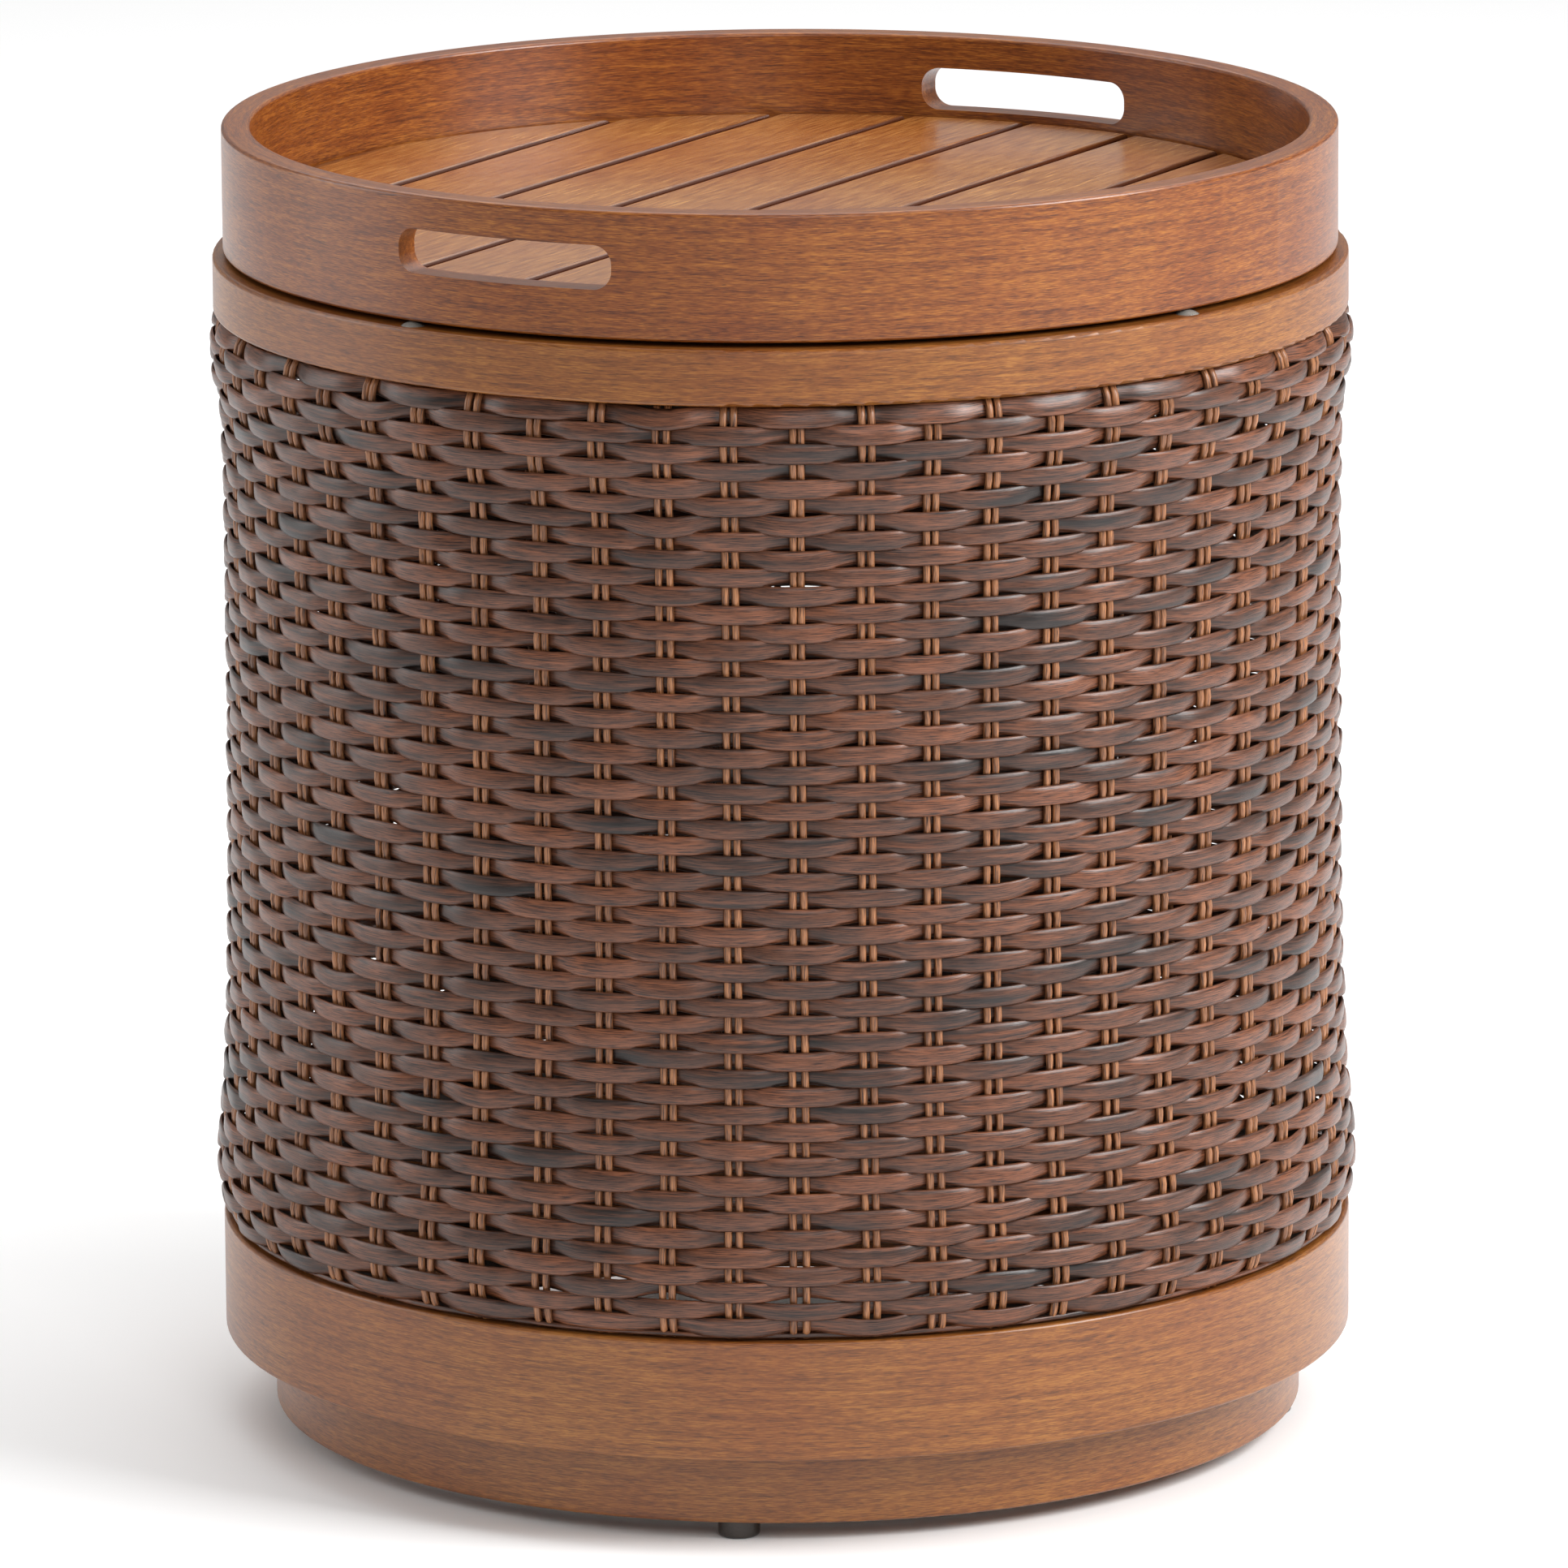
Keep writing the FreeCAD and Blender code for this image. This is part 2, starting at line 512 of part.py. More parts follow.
SCREW_SPOTS = [("", position) for position in range(SLATS_PER_SIDE)]
SCREW_SPOTS += [("-", position) for position in range(SLATS_PER_SIDE)]
for label, turn in (("tray_batten_rear", 90), ("tray_batten_front", -90)):
    batten = new_body(label, turn)
    add_slab(batten, lambda sketch: strip(sketch, "sizes.batten_offset - sizes.batten_width / 2",
                                          "sizes.batten_offset + sizes.batten_width / 2", BATTEN_RADIUS),
             TRAY_LOW, "sizes.ledge_height")
    for sign, position in SCREW_SPOTS:
        name = f"{'left' if sign else 'right'}_{position + 1}"
        along = f"{sign}({slat_screw(position)})"
        add_cylinder(batten, f"shank_hole_{name}", "Subtractive", "sizes.deck_screw_radius + sizes.screw_gap",
                     "sizes.ledge_height", "sizes.batten_offset", along, TRAY_LOW)
        add_cylinder(batten, f"head_hole_{name}", "Subtractive", "sizes.deck_head_radius + sizes.head_gap",
                     "sizes.deck_bore", "sizes.batten_offset", along, TRAY_LOW)

deck_screws = new_body("deck_screws", several=True)
seat_level = f"{TRAY_LOW} + sizes.deck_bore"
for sign, position in SCREW_SPOTS:
    for row, along in (("front", "-sizes.batten_offset"), ("rear", "sizes.batten_offset")):
        name = f"{row}_{'left' if sign else 'right'}_{position + 1}"
        across = f"{sign}({slat_screw(position)})"
        add_cylinder(deck_screws, f"head_{name}", "Additive", "sizes.deck_head_radius", "sizes.deck_head_height",
                     across, along, f"{seat_level} - sizes.deck_head_height")
        add_cylinder(deck_screws, f"shank_{name}", "Additive", "sizes.deck_screw_radius",
                     "sizes.ledge_height - sizes.deck_bore + sizes.deck_grip", across, along, seat_level)

# ---------------------------------------------------------------- checks and export
doc.recompute()
faults = [item.Name for item in doc.Objects if "Invalid" in item.State or "Error" in item.State]
for item in subparts:
    if item.Shape.isNull() or not item.Shape.isValid() or not item.Shape.Solids:
        faults.append(item.Label)
if faults:
    raise RuntimeError("failed objects: " + ", ".join(faults))

os.makedirs("parts", exist_ok=True)
for item in subparts:
    item.Shape.exportStep(f"parts/{item.Label}.step")
    box = item.Shape.BoundBox
    print(f"{item.Label:22s} solids {len(item.Shape.Solids):2d}  volume {item.Shape.Volume / 1000:9.2f} cm3"
          f"  z {box.ZMin:7.2f} to {box.ZMax:7.2f}  x {box.XMin:8.2f} to {box.XMax:8.2f}")
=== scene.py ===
import json
import math

import bpy
import numpy as np
from mathutils import Matrix, Vector

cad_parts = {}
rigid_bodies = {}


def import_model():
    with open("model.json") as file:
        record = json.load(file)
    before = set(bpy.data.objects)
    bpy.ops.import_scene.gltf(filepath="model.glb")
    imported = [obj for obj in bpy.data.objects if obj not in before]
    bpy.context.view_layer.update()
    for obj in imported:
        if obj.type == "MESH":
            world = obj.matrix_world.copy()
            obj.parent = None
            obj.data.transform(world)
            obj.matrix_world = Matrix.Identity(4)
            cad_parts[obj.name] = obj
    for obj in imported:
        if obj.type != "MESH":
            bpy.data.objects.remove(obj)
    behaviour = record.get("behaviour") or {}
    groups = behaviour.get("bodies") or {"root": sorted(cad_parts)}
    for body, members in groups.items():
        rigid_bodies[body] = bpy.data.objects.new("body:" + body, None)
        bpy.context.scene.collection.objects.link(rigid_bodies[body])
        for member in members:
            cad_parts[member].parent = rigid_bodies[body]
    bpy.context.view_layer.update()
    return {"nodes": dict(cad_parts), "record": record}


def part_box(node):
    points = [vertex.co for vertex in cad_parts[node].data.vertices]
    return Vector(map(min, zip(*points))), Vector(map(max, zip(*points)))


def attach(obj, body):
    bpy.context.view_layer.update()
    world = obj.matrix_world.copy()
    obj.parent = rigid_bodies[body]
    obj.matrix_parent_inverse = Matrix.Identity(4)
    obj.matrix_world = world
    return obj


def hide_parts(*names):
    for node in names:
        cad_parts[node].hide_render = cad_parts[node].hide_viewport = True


for leftover in list(bpy.data.objects):  # the start-up cube, lamp and camera
    bpy.data.objects.remove(leftover)
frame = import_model()
nodes = frame["nodes"]
print("frame loaded:", len(nodes), "nodes")

mm = 0.001


def deselectAll():
    bpy.ops.object.select_all(action="DESELECT")


def hexColour(code):  # sRGB hex to linear RGBA
    channels = [int(code[i:i + 2], 16) / 255 for i in (1, 3, 5)]
    linear = [c / 12.92 if c <= 0.04045 else ((c + 0.055) / 1.055) ** 2.4 for c in channels]
    return (*linear, 1.0)


def addNode(tree, kind, settings=None, inputs=None):
    node = tree.nodes.new(kind)
    for key, value in (settings or {}).items():
        setattr(node, key, value)
    for key, value in (inputs or {}).items():
        if isinstance(value, bpy.types.NodeSocket):
            tree.links.new(value, node.inputs[key])
        else:
            node.inputs[key].default_value = value
    return node


def newMaterial(name):
    material = bpy.data.materials.new(name)
    material.use_nodes = True
    tree = material.node_tree
    shader = next(n for n in tree.nodes if n.type == "BSDF_PRINCIPLED")
    return material, tree, shader


def addRamp(tree, factor, stops):  # stops are (position, hex colour or grey value)
    ramp = addNode(tree, "ShaderNodeValToRGB", {}, {"Fac": factor})
    elements = ramp.color_ramp.elements
    while len(elements) < len(stops):
        elements.new(0.5)
    for element, (position, colour) in zip(elements, stops):
        element.position = position
        element.color = hexColour(colour) if isinstance(colour, str) else (colour, colour, colour, 1)
    return ramp.outputs["Color"]


def addMath(tree, operation, *values):
    inputs = dict(enumerate(values))
    return addNode(tree, "ShaderNodeMath", {"operation": operation}, inputs).outputs[0]


def mixColours(tree, factor, first, second, blend="MIX"):
    mix = addNode(tree, "ShaderNodeMix", {"data_type": "RGBA", "blend_type": blend},
                  {"Factor": factor, "A": first, "B": second})
    return mix.outputs["Result"]


woodLook = {
    "streakAcross": 0.28,    # mm, thickness of a fine brushed streak
    "streakAlong": 5.5,      # mm, its length
    "bandAcross": 1.7,       # mm, broader light and dark bands
    "bandAlong": 38.0,
    "poreAcross": 0.45,      # mm, short dark pores
    "poreAlong": 4.5,
    "patchSize": 70.0,       # mm, redder and yellower patches
    "knotSpacing": 75.0,     # mm, between the few small knots
    "knotSize": 1.6,         # mm, radius of one
    "knotColour": "#3A2218",
    "streakShare": 0.68,     # of the fine streaks, the rest is bands
    "toneStops": (0.37, 0.49, 0.62),  # where the dark, middle and light tones stand in the grain
    "patchShare": 0.8,       # how strongly the patches tint it
    "poreStops": (0.3, 0.4),
    "poreShare": 0.6,
    "relief": 0.12,          # mm, depth of the grain
    # painted shade for the slats' upright sides down in the gaps between slats
    "gapShadeColour": "#2A160C",
    # painted shade for a line along the slat tops beside each gap
    "gapEdgeShadeColour": "#4A200A",
    "gapEdgeShadeWidth": (3.4, 4.6),  # mm from the middle of a gap, over which the painted shade line fades
    "coatRoughness": 0.22,
    "gapSpacing": 56.0,      # mm, from one gap between slats to the next
    "gapEdgeShadeRaggedness": 1.4,        # mm, how ragged the painted shade line beside a gap is
}


def addGrain(tree, direction, across, along, detail, offset):
    # round: the grain runs around the Z axis, on the walls and on the flat faces; straight: along Y
    place = addNode(tree, "ShaderNodeTexCoord").outputs["Object"]
    slow, fast = 1 / (along * mm), 1 / (across * mm)
    if direction == "round":
        split = addNode(tree, "ShaderNodeSeparateXYZ", {}, {0: place})
        squareX = addMath(tree, "MULTIPLY", split.outputs["X"], split.outputs["X"])
        squareY = addMath(tree, "MULTIPLY", split.outputs["Y"], split.outputs["Y"])
        radius = addMath(tree, "SQRT", addMath(tree, "ADD", squareX, squareY))
        steps = (slow, slow, fast)
        extra = addMath(tree, "MULTIPLY_ADD", radius, fast, offset)
    else:
        steps = (fast, slow, fast)
        extra = offset
    vector = addNode(tree, "ShaderNodeMapping", {}, {"Vector": place, "Scale": steps})
    noise = addNode(tree, "ShaderNodeTexNoise", {"noise_dimensions": "4D"},
                    {"Vector": vector.outputs["Vector"], "W": extra, "Scale": 1.0, "Detail": detail,
                     "Roughness": 0.55})
    return noise.outputs["Fac"]


def woodMaterial(name, direction, dark, middle, light, roughness, coat, gapShade=0.0, coarser=1.0):
    # the gap shade paints shade on the slats' upright sides and along their edges beside the gaps,
    # coarser makes the streaks longer and thicker
    material, tree, shader = newMaterial(name)
    look = woodLook
    streakAcross, streakAlong = look["streakAcross"] * coarser, look["streakAlong"] * coarser
    streaks = addGrain(tree, direction, streakAcross, streakAlong, 4.0, 0.0)
    bands = addGrain(tree, direction, look["bandAcross"], look["bandAlong"], 3.0, 31.0)
    pores = addGrain(tree, direction, look["poreAcross"], look["poreAlong"], 1.0, 57.0)
    place = addNode(tree, "ShaderNodeTexCoord").outputs["Object"]
    patches = addNode(tree, "ShaderNodeTexNoise", {},
                      {"Vector": place, "Scale": 1 / (look["patchSize"] * mm), "Detail": 2.0})
    fineShare = addMath(tree, "MULTIPLY", streaks, look["streakShare"])
    broadShare = addMath(tree, "MULTIPLY", bands, 1 - look["streakShare"])
    blended = addMath(tree, "ADD", fineShare, broadShare)
    colour = addRamp(tree, blended, list(zip(look["toneStops"], (dark, middle, light))))
    tone = addRamp(tree, patches.outputs["Fac"], [(0.35, "#E9D6CC"), (0.65, "#FFFFFF")])
    colour = mixColours(tree, look["patchShare"], colour, tone, "MULTIPLY")
    poreMask = addRamp(tree, pores, list(zip(look["poreStops"], (1.0, 0.0))))
    poreStrength = addMath(tree, "MULTIPLY", poreMask, look["poreShare"])
    colour = mixColours(tree, poreStrength, colour, hexColour(dark))
    knots = addNode(tree, "ShaderNodeTexVoronoi", {},
                    {"Vector": place, "Scale": 1 / (look["knotSpacing"] * mm)})
    knotReach = look["knotSize"] / look["knotSpacing"]
    knotMask = addNode(tree, "ShaderNodeMapRange", {}, {
        "Value": knots.outputs["Distance"], "From Min": 0.5 * knotReach, "From Max": 1.5 * knotReach,
        "To Min": 0.85, "To Max": 0.0})
    colour = mixColours(tree, knotMask.outputs["Result"], colour, hexColour(look["knotColour"]))
    if gapShade:  # painted shade: the slats' upright sides down in the gaps, and a line along their edges beside each gap, are darkened as if in shadow
        normal = addNode(tree, "ShaderNodeTexCoord").outputs["Normal"]
        facing = addNode(tree, "ShaderNodeSeparateXYZ", {}, {0: normal})
        sideways = addMath(tree, "ABSOLUTE", facing.outputs["X"])
        upright = addRamp(tree, sideways, [(0.55, 0.0), (0.9, gapShade)])
        colour = mixColours(tree, upright, colour, hexColour(look["gapShadeColour"]))
        # painted shade line along the slat tops beside each gap, ragged by the streaks
        split = addNode(tree, "ShaderNodeSeparateXYZ", {}, {0: place})
        fromGap = addMath(tree, "PINGPONG", split.outputs["X"], look["gapSpacing"] / 2 * mm)
        edge = addNode(tree, "ShaderNodeMapRange", {}, {
            "Value": addMath(tree, "MULTIPLY_ADD", streaks, look["gapEdgeShadeRaggedness"] * mm, fromGap),
            "From Min": look["gapEdgeShadeWidth"][0] * mm, "From Max": look["gapEdgeShadeWidth"][1] * mm,
            "To Min": 0.8, "To Max": 0.0})
        colour = mixColours(tree, edge.outputs["Result"], colour, hexColour(look["gapEdgeShadeColour"]))
    tree.links.new(colour, shader.inputs["Base Color"])
    bump = addNode(tree, "ShaderNodeBump", {},
                   {"Height": blended, "Strength": 0.4, "Distance": look["relief"] * mm})
    tree.links.new(bump.outputs["Normal"], shader.inputs["Normal"])
    shader.inputs["Roughness"].default_value = roughness
    shader.inputs["Coat Weight"].default_value = coat
    shader.inputs["Coat Roughness"].default_value = look["coatRoughness"]
    return material


# teak-coloured stain, brushed on along the ring and sealed with a satin clear coat
rimWood = woodMaterial("teak_stained_hoop", "round", "#4A220C", "#7C4114", "#A46626", 0.32, 0.2)
baseWood = woodMaterial("teak_stained_base", "round", "#552E0E", "#804A1A", "#9E672A", 0.36, 0.18)
# slats, the same stain with the grain running along them, and painted shade in the gaps between them
slatWood = woodMaterial("teak_stained_slats", "straight", "#7C4418", "#A5682C", "#C88E4A", 0.24, 0.6,
                        gapShade=1.0, coarser=3.0)


def plainMaterial(name, colour, roughness, metallic=0.0, grit=0.4, relief=0.02):  # grit and relief in mm
    material, tree, shader = newMaterial(name)
    place = addNode(tree, "ShaderNodeTexCoord").outputs["Object"]
    noise = addNode(tree, "ShaderNodeTexNoise", {},
                    {"Vector": place, "Scale": 1 / (grit * mm), "Detail": 3.0})
    tone = addRamp(tree, noise.outputs["Fac"], [(0.3, "#E6E6E6"), (0.7, "#FFFFFF")])
    shaded = mixColours(tree, 1.0, hexColour(colour), tone, "MULTIPLY")
    tree.links.new(shaded, shader.inputs["Base Color"])
    spread = addNode(tree, "ShaderNodeMapRange", {}, {
        "Value": noise.outputs["Fac"], "To Min": roughness * 0.85, "To Max": roughness * 1.15})
    tree.links.new(spread.outputs["Result"], shader.inputs["Roughness"])
    bump = addNode(tree, "ShaderNodeBump", {},
                   {"Height": noise.outputs["Fac"], "Strength": 0.3, "Distance": relief * mm})
    tree.links.new(bump.outputs["Normal"], shader.inputs["Normal"])
    shader.inputs["Metallic"].default_value = metallic
    return material, shader


frameMetal, _ = plainMaterial("powder_coated_aluminium", "#3A2C22", 0.55)  # fine orange peel
screwSteel, _ = plainMaterial("zinc_plated_steel", "#C8C6C0", 0.35, 1.0)  # pale grey, soft shine
insertBrass, _ = plainMaterial("turned_brass", "#C9A35C", 0.35, 1.0)  # yellow, soft shine
# dark glossy moulded nylon
padPlastic, _ = plainMaterial("moulded_nylon_glide", "#3B3530", 0.16, 0.0, 0.8, 0.01)
# stick-on silicone dome, milky but clear
bumperSilicone, bumperShader = plainMaterial("clear_silicone", "#EFE9DE", 0.12, 0.0, 0.8, 0.005)
bumperShader.inputs["Transmission Weight"].default_value = 0.75
bumperShader.inputs["IOR"].default_value = 1.41

finishes = {
    "rim_wood": rimWood,
    "slat_wood": slatWood,
    "base_wood": baseWood,
    "frame_metal": frameMetal,
    "screw_steel": screwSteel,
    "insert_brass": insertBrass,
    "pad_plastic": padPlastic,
    "clear_bumper": bumperSilicone,
}
slotOf = {part["node"]: part["material_slot"] for part in frame["record"]["subparts"]}
for nodeName, item in nodes.items():
    if slotOf[nodeName] in finishes:
        item.data.materials.clear()
        item.data.materials.append(finishes[slotOf[nodeName]])
print("materials on the carried-over parts")

strandLook = {
    "streakAcross": 0.3,     # mm, fine streaks along a strand
    "streakAlong": 8.0,
    "bandAcross": 2.0,       # mm, dark and brown bands side by side in a strand
    "bandAlong": 55.0,
    "toneAlong": 75.0,       # mm, length of a darker or redder stretch
    "toneAcross": 1000.0,    # mm, so wide that a stretch takes in the whole strand
    "lineMiddle": "#D0BEB2",  # between the dark and the light of the fine streaks
    "lineStops": (0.36, 0.5, 0.62),  # where the dark, middle and light lines stand
    "tonesBlend": 0.12,      # how softly the dark resin runs into the brown
    "relief": 0.2,           # mm, depth of the lines
    "roughness": 0.34,
}


def strandMaterial(name, upright, dark, warm, streakDark, streakLight, darkShare):
    # moulded polyethylene, dark and brown resin run together in lines; the map holds the strand's
    # number and the place across it
    material, tree, shader = newMaterial(name)
    look = strandLook
    place = addNode(tree, "ShaderNodeTexCoord")
    strand = addNode(tree, "ShaderNodeSeparateXYZ", {}, {0: place.outputs["UV"]})

    def streakNoise(across, along, detail, number):
        slow, fast = 1 / (along * mm), 1 / (across * mm)
        steps = (0.0, 0.0, slow) if upright else (slow, slow, 0.0)
        line = addNode(tree, "ShaderNodeMapping", {},
                       {"Vector": place.outputs["Object"], "Scale": steps})
        shift = addMath(tree, "MULTIPLY", strand.outputs["Y"], fast)
        sideways = addNode(tree, "ShaderNodeCombineXYZ", {}, {"X" if upright else "Z": shift})
        vector = addNode(tree, "ShaderNodeVectorMath", {"operation": "ADD"},
                         {0: line.outputs["Vector"], 1: sideways.outputs["Vector"]})
        seed = addMath(tree, "MULTIPLY", strand.outputs["X"], number)
        noise = addNode(tree, "ShaderNodeTexNoise", {"noise_dimensions": "4D"},
                        {"Vector": vector.outputs["Vector"], "W": seed, "Scale": 1.0,
                         "Detail": detail, "Roughness": 0.6})
        return noise.outputs["Fac"]

    streaks = streakNoise(look["streakAcross"], look["streakAlong"], 3.0, 3.7)
    bands = streakNoise(look["bandAcross"], look["bandAlong"], 2.0, 5.3)
    tones = streakNoise(look["toneAcross"], look["toneAlong"], 1.0, 7.9)
    bandHalf = addMath(tree, "MULTIPLY", bands, 0.5)
    toneHalf = addMath(tree, "MULTIPLY", tones, 0.5)
    mixed = addMath(tree, "ADD", bandHalf, toneHalf)
    softness = look["tonesBlend"]
    share = addRamp(tree, mixed, [(darkShare - softness, 0.0), (darkShare + softness, 1.0)])
    colour = mixColours(tree, share, hexColour(dark), hexColour(warm))
    lineColours = (streakDark, look["lineMiddle"], streakLight)
    lines = addRamp(tree, streaks, list(zip(look["lineStops"], lineColours)))
    colour = mixColours(tree, 1.0, colour, lines, "MULTIPLY")
    tree.links.new(colour, shader.inputs["Base Color"])
    bump = addNode(tree, "ShaderNodeBump", {},
                   {"Height": streaks, "Strength": 0.5, "Distance": look["relief"] * mm})
    tree.links.new(bump.outputs["Normal"], shader.inputs["Normal"])
    shader.inputs["Roughness"].default_value = look["roughness"]
    return material


# dark walnut resin for the flat strands, lighter tan resin for the stakes
weaverResin = strandMaterial("polyethylene_flat_strand", False, "#2A2220", "#81543B",
                             "#4C3A33", "#FFEEE0", 0.475)
stakeResin = strandMaterial("polyethylene_round_strand", True, "#77533E", "#B3825B",
                            "#543E30", "#FFF0E4", 0.42)

weave = {
    "pairs": 54,             # pairs of upright stakes
    "rows": 52,              # rows of flat strands
    "firstPair": -59.45,     # degrees, direction of one pair
    "pairJitter": 0.22,      # degrees, hand-set pairs aren't quite even
    "bottomGap": 2.6 * mm,   # under the last row, above the base band
    "topGap": 0.5 * mm,      # over the first row, under the cap ring
    "topTuck": 1.3 * mm,     # the first rows draw in under the cap ring
    "tuckHeight": 10 * mm,   # over this much of the wall
    "proud": 0.8 * mm,       # crests stand this much outside the wall's outline
    "swing": 2.6 * mm,       # middle of a flat strand, out from and in behind the stakes
    "swingSpread": 0.06,     # how uneven that is, as a share
    "swingPower": 2.6,       # mostly out, and in only behind a pair
    "thickness": 2.3 * mm,
    "backShare": 0.6,        # flatter on the back
    "facePower": 0.75,       # a flat face with rounded edges, 1 would be an oval
    "edgePower": 0.9,
    "width": 8.2 * mm,       # between two pairs
    "widen": 0.4 * mm,       # wider over a pair, narrower behind one
    "widthSpread": 0.035,    # how uneven the width is, as a share
    "twistSpread": 0.08,     # lean of a strand's face, as a slope
    "sag": 0.3 * mm,         # a crest hangs a little lower
    "slack": 1.1 * mm,       # a few crests sag this much more
    "slackShare": 0.02,      # how many do
    "dropSpread": 0.3 * mm,  # uneven rows
    "ringRadius": 0.24,      # m, of the plain ring a strand is shaped from
    "ringSection": 0.01,     # m, radius of that ring's own section
    "stakeRadius": 1.6 * mm,
    "stakeSides": 8,
    "stakeStep": 4.35 * mm,  # between the two stakes of a pair
    "stakeBow": 0.45 * mm,   # pulled in and out by the rows
    "stakeLean": 0.5 * mm,   # foot to head, sideways
    "stakeWander": 0.35 * mm,
    "stakeWaves": 5,         # radians of that wander over a stake's length
    "stakeLift": 0.7 * mm,   # stakes end above the base band
    "stakeCuts": 3,          # per row
    "stepsPerPair": 12,
    "stepsAcross": 12,
    "rowsPerPiece": 11,
}
generator = np.random.default_rng(11)


def wallOutline():  # outside radius of the wall against height
    mesh = nodes["wicker_wall"].data
    levels = {}
    for face in mesh.polygons:
        centre = face.center
        if face.normal.x * centre.x + face.normal.y * centre.y > 0:
            for index in face.vertices:
                point = mesh.vertices[index].co
                levels[round(point.z, 5)] = math.hypot(point.x, point.y)
    heights = sorted(levels)
    return np.array(heights), np.array([levels[h] for h in heights])


outlineHeights, outlineRadii = wallOutline()
wallLow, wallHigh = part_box("wicker_wall")[0].z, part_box("wicker_wall")[1].z
rowPitch = (wallHigh - wallLow - weave["bottomGap"] - weave["topGap"]) / weave["rows"]
rowsHigh = wallHigh - weave["topGap"]
reach = weave["swing"] + weave["thickness"] / 2 - weave["proud"]
pairStep = 360 / weave["pairs"]
pairJitters = generator.normal(0, weave["pairJitter"], weave["pairs"])
pairTurns = np.radians(weave["firstPair"] + np.arange(weave["pairs"]) * pairStep + pairJitters)


def middleRadius(height):  # radius of the stakes' centre line
    tuckHeight = weave["tuckHeight"]
    tuck = np.clip((height - (wallHigh - tuckHeight)) / tuckHeight, 0, 1) ** 2 * weave["topTuck"]
    return np.interp(height, outlineHeights, outlineRadii) - reach - tuck


def pairPlace(theta):  # which pair a direction is at, with fractions between pairs
    numbers = np.arange(-1, weave["pairs"] + 1)
    turns = np.concatenate([pairTurns[-1:] - 2 * math.pi, pairTurns, pairTurns[:1] + 2 * math.pi])
    return np.interp((theta - pairTurns[0]) % (2 * math.pi) + pairTurns[0], turns, numbers)


def pairNoise(spread):  # one random value for each pair
    return generator.normal(0.0, spread, weave["pairs"])


def between(values, position):  # smooth steps from pair to pair, closed round the drum
    low = np.floor(position).astype(int)
    part = position - low
    part = part * part * (3 - 2 * part)
    return values[low % len(values)] * (1 - part) + values[(low + 1) % len(values)] * part


def readPoints(mesh):
    points = np.empty(len(mesh.vertices) * 3)
    mesh.vertices.foreach_get("co", points)
    return points.reshape(-1, 3)


def writeMap(mesh, vertexMap):  # strand number and place across it, for the material
    corners = np.empty(len(mesh.loops), dtype=int)
    mesh.loops.foreach_get("vertex_index", corners)
    layer = mesh.uv_layers.active or mesh.uv_layers.new(name="strand")
    layer.data.foreach_set("uv", vertexMap[corners].ravel())


def signedPower(values, power):
    return np.sign(values) * np.abs(values) ** power


def addRing(steps, stepsAcross):  # plain ring that a strand is shaped from
    deselectAll()
    bpy.ops.mesh.primitive_torus_add(major_segments=steps, minor_segments=stepsAcross,
                                     major_radius=weave["ringRadius"],
                                     minor_radius=weave["ringSection"])
    return bpy.context.object


def copyOf(model):
    item = model.copy()
    item.data = model.data.copy()
    bpy.context.collection.objects.link(item)
    return item


def shapeFlatStrand(strand, row):
    height = rowsHigh - (row + 0.5) * rowPitch
    points = readPoints(strand.data)
    theta = np.arctan2(points[:, 1], points[:, 0])
    section = np.arctan2(points[:, 2], np.hypot(points[:, 0], points[:, 1]) - weave["ringRadius"])
    position = pairPlace(theta)
    over = np.cos(math.pi * (position + row))
    swing = 1 - 2 * ((1 - over) / 2) ** weave["swingPower"]
    swing = swing * (1 + between(pairNoise(weave["swingSpread"]), position))
    half = (weave["width"] + weave["widen"] * over) / 2
    half = half * (1 + between(pairNoise(weave["widthSpread"]), position))
    across = signedPower(np.sin(section), weave["edgePower"])
    out = signedPower(np.cos(section), weave["facePower"]) * weave["thickness"] / 2
    out = np.where(out < 0, out * weave["backShare"], out)
    slack = (generator.random(weave["pairs"]) < weave["slackShare"]) * weave["slack"]
    twist = between(pairNoise(weave["twistSpread"]), position + 0.5)
    unevenness = between(pairNoise(weave["dropSpread"]), position)
    drop = unevenness - (weave["sag"] + between(slack, position)) * over
    rise = across * half
    radius = middleRadius(height + rise) + weave["swing"] * swing + out + twist * rise
    points[:, 0] = radius * np.cos(theta)
    points[:, 1] = radius * np.sin(theta)
    points[:, 2] = height + rise + drop
    strand.data.vertices.foreach_set("co", points.ravel())
    writeMap(strand.data, np.stack([np.full(len(rise), row + 0.5), rise], axis=1))


def joinPieces(items, name, material):
    deselectAll()
    for item in items:
        item.select_set(True)
    bpy.context.view_layer.objects.active = items[0]
    bpy.ops.object.join()
    joined = bpy.context.object
    joined.name = name
    bpy.ops.object.shade_smooth()
    joined.data.materials.append(material)
    return joined


def addStakeModel():  # a round rod one unit long, cut into rings along its length
    deselectAll()
    bpy.ops.mesh.primitive_cylinder_add(vertices=weave["stakeSides"], radius=weave["stakeRadius"],
                                        depth=1, end_fill_type="TRIFAN")
    stake = bpy.context.object
    bpy.ops.object.mode_set(mode="EDIT")
    bpy.ops.mesh.select_mode(type="EDGE")
    bpy.ops.mesh.select_all(action="DESELECT")
    bpy.ops.object.mode_set(mode="OBJECT")
    for edge in stake.data.edges:
        first, second = (stake.data.vertices[v].co for v in edge.vertices)
        edge.select = abs(first.z - second.z) > 0.5
    bpy.ops.object.mode_set(mode="EDIT")
    bpy.ops.mesh.subdivide(number_cuts=weave["rows"] * weave["stakeCuts"] - 1)
    bpy.ops.object.mode_set(mode="OBJECT")
    return stake


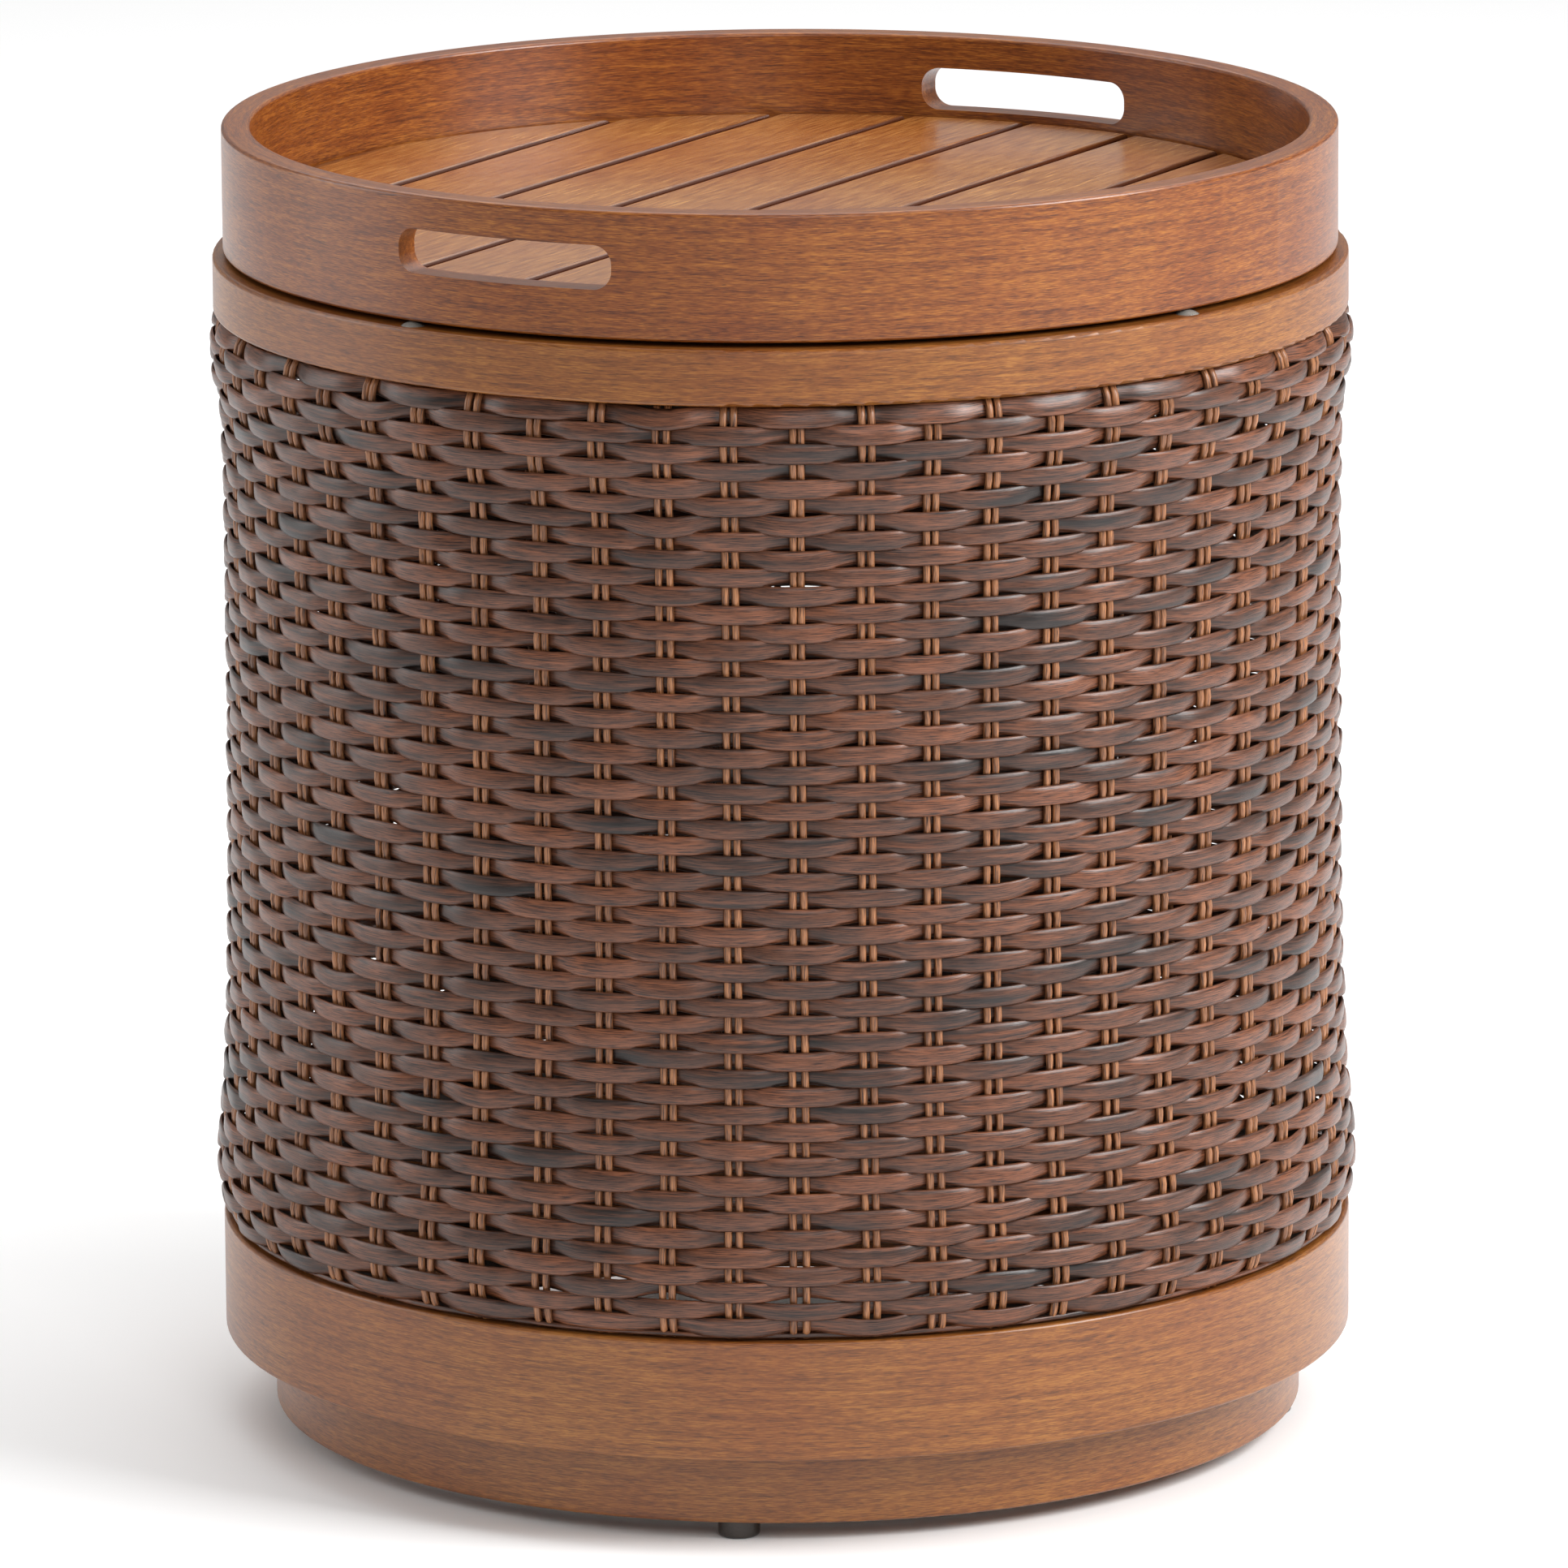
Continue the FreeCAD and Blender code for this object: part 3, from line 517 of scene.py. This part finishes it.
def shapeStake(stake, index):
    points = readPoints(stake.data)
    pair, side = index // 2, index % 2 - 0.5
    turn = pairTurns[pair]
    out, along = points[:, 0].copy(), points[:, 1].copy()
    foot = wallLow + weave["stakeLift"]
    height = foot + (points[:, 2] + 0.5) * (wallHigh - foot)
    rowPlace = (rowsHigh - height) / rowPitch - 0.5
    bow = -np.cos(math.pi * (pair + rowPlace)) * weave["stakeBow"]
    lean = generator.normal(0, weave["stakeLean"])
    wander = generator.normal(0, weave["stakeWander"])
    level = points[:, 2]
    wave = np.sin(weave["stakeWaves"] * level)
    shift = side * weave["stakeStep"] + along + lean * level + wander * wave
    radius = middleRadius(height) + bow + out
    points[:, 0] = radius * math.cos(turn) - shift * math.sin(turn)
    points[:, 1] = radius * math.sin(turn) + shift * math.cos(turn)
    points[:, 2] = height
    stake.data.vertices.foreach_set("co", points.ravel())
    writeMap(stake.data, np.stack([np.full(len(along), index + 0.5), along], axis=1))


border = {
    "lift": 2.1 * mm,        # middle of the border strand over the base band
    "proud": 2.0 * mm,       # outside the stakes' centre line
    "across": 0.11,          # height and depth, as shares of the plain ring's own section
    "through": 0.08,
    "waves": 23,
    "waveSize": 0.15 * mm,
    "number": 90.5,          # its place in the material's map
}


def shapeBorderStrand(strand):  # thin strand that closes the wall under the last row
    points = readPoints(strand.data)
    theta = np.arctan2(points[:, 1], points[:, 0])
    outward = np.hypot(points[:, 0], points[:, 1]) - weave["ringRadius"]
    rise = points[:, 2] * border["across"]
    wave = np.sin(theta * border["waves"]) * border["waveSize"]
    radius = middleRadius(wallLow) + border["proud"] + outward * border["through"]
    points[:, 0] = radius * np.cos(theta)
    points[:, 1] = radius * np.sin(theta)
    points[:, 2] = wallLow + border["lift"] + rise + wave
    strand.data.vertices.foreach_set("co", points.ravel())
    writeMap(strand.data, np.stack([np.full(len(rise), border["number"]), rise], axis=1))


def buildWeave():
    pieces = []
    ring = addRing(weave["pairs"] * weave["stepsPerPair"], weave["stepsAcross"])
    rows = [copyOf(ring) for row in range(weave["rows"])]
    for row, strand in enumerate(rows):
        shapeFlatStrand(strand, row)
    shapeBorderStrand(ring)
    rows.append(ring)
    for start in range(0, len(rows), weave["rowsPerPiece"]):
        group = rows[start:start + weave["rowsPerPiece"]]
        pieces.append(joinPieces(group, f"flat_strands_{len(pieces) + 1}", weaverResin))
    print("flat strands woven")
    model = addStakeModel()
    stakes = [copyOf(model) for index in range(weave["pairs"] * 2)]
    for index, stake in enumerate(stakes):
        shapeStake(stake, index)
    bpy.data.objects.remove(model)
    half = len(stakes) // 2
    pieces.append(joinPieces(stakes[:half], "round_stakes_1", stakeResin))
    pieces.append(joinPieces(stakes[half:], "round_stakes_2", stakeResin))
    print("stakes placed")
    return pieces


for piece in buildWeave():
    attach(piece, "drum")
    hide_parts("wicker_wall")
print("weave rides the drum")

studio = {
    "floor": "#FFFFFF",
    "floorSize": 40,         # m
    "sky": "#FFFFFF",
    "skyStrength": 0.31,
}
bpy.ops.mesh.primitive_plane_add(size=studio["floorSize"])
floor = bpy.context.object
floor.name = "studio_floor"
floorMaterial, _, floorShader = newMaterial("matt_white_paper")  # seamless studio paper
floorShader.inputs["Base Color"].default_value = hexColour(studio["floor"])
floorShader.inputs["Roughness"].default_value = 0.9
floor.data.materials.append(floorMaterial)

world = bpy.data.worlds.new("studio")
world.use_nodes = True
background = next(n for n in world.node_tree.nodes if n.type == "BACKGROUND")
background.inputs["Color"].default_value = hexColour(studio["sky"])
background.inputs["Strength"].default_value = studio["skyStrength"]
bpy.context.scene.world = world


def addSoftbox(name, place, target, size, power):
    deselectAll()
    bpy.ops.object.light_add(type="AREA", location=place)
    lamp = bpy.context.object
    lamp.name = name
    lamp.data.shape = "SQUARE"
    lamp.data.size = size
    lamp.data.energy = power
    lamp.rotation_euler = (Vector(target) - Vector(place)).to_track_quat("-Z", "Y").to_euler()


camera = {
    "azimuth": 29.2,         # degrees, from -Y towards +X
    "distance": 5.3594,      # m, level distance from the table's axis
    "height": 1.4742,
    "pitch": -12.582,        # degrees, looking down
    "roll": -0.382,
    "lens": 289.96,          # mm
    "sensor": 36,
}
# each lamp: degrees round from the camera, distance and height in m; what it aims at, or None for
# straight down; size in m; power in W
lamps = {
    "key_light": {"place": (64, 2.6, 1.9), "aim": (0, 0, 0.3), "size": 1.4, "power": 94},
    "side_light": {"place": (-95, 2.6, 1.0), "aim": (0, 0, 0.3), "size": 1.6, "power": 20},
    "front_light": {"place": (8, 3.2, 2.0), "aim": (0, 0, 0.4), "size": 1.2, "power": 22},
    "tray_light": {"place": (84, 2.0, 2.0), "aim": (0, 0, 0.57), "size": 0.9, "power": 12},
    "top_light": {"place": (180, 2.2, 3.4), "aim": None, "size": 5.6, "power": 150},
}


def aroundTable(azimuth, distance, height):
    turn = math.radians(azimuth)
    return Vector((math.sin(turn) * distance, -math.cos(turn) * distance, height))


for lampName, lamp in lamps.items():
    around, distance, height = lamp["place"]
    place = aroundTable(camera["azimuth"] + around, distance, height)
    aim = lamp["aim"] or (place.x, place.y, 0)
    addSoftbox(lampName, place, aim, lamp["size"], lamp["power"])
print("studio lit")

bpy.ops.object.camera_add()
viewer = bpy.context.object
viewer.name = "camera"
viewer.data.lens = camera["lens"]
viewer.data.sensor_width = camera["sensor"]
viewer.data.clip_end = 100
pitch, roll = math.radians(camera["pitch"]), math.radians(camera["roll"])
forward = Vector((0, math.cos(pitch), math.sin(pitch)))
right = Vector((1, 0, 0))
up = right.cross(forward)
rolledRight = right * math.cos(roll) + up * math.sin(roll)
rolledUp = up * math.cos(roll) - right * math.sin(roll)
axes = Matrix((rolledRight, rolledUp, -forward)).transposed().to_4x4()
turned = Matrix.Rotation(math.radians(camera["azimuth"]), 4, "Z")
cameraPlace = aroundTable(camera["azimuth"], camera["distance"], camera["height"])
viewer.matrix_world = Matrix.Translation(cameraPlace) @ turned @ axes
bpy.context.scene.camera = viewer
bpy.context.scene.view_settings.view_transform = "Standard"
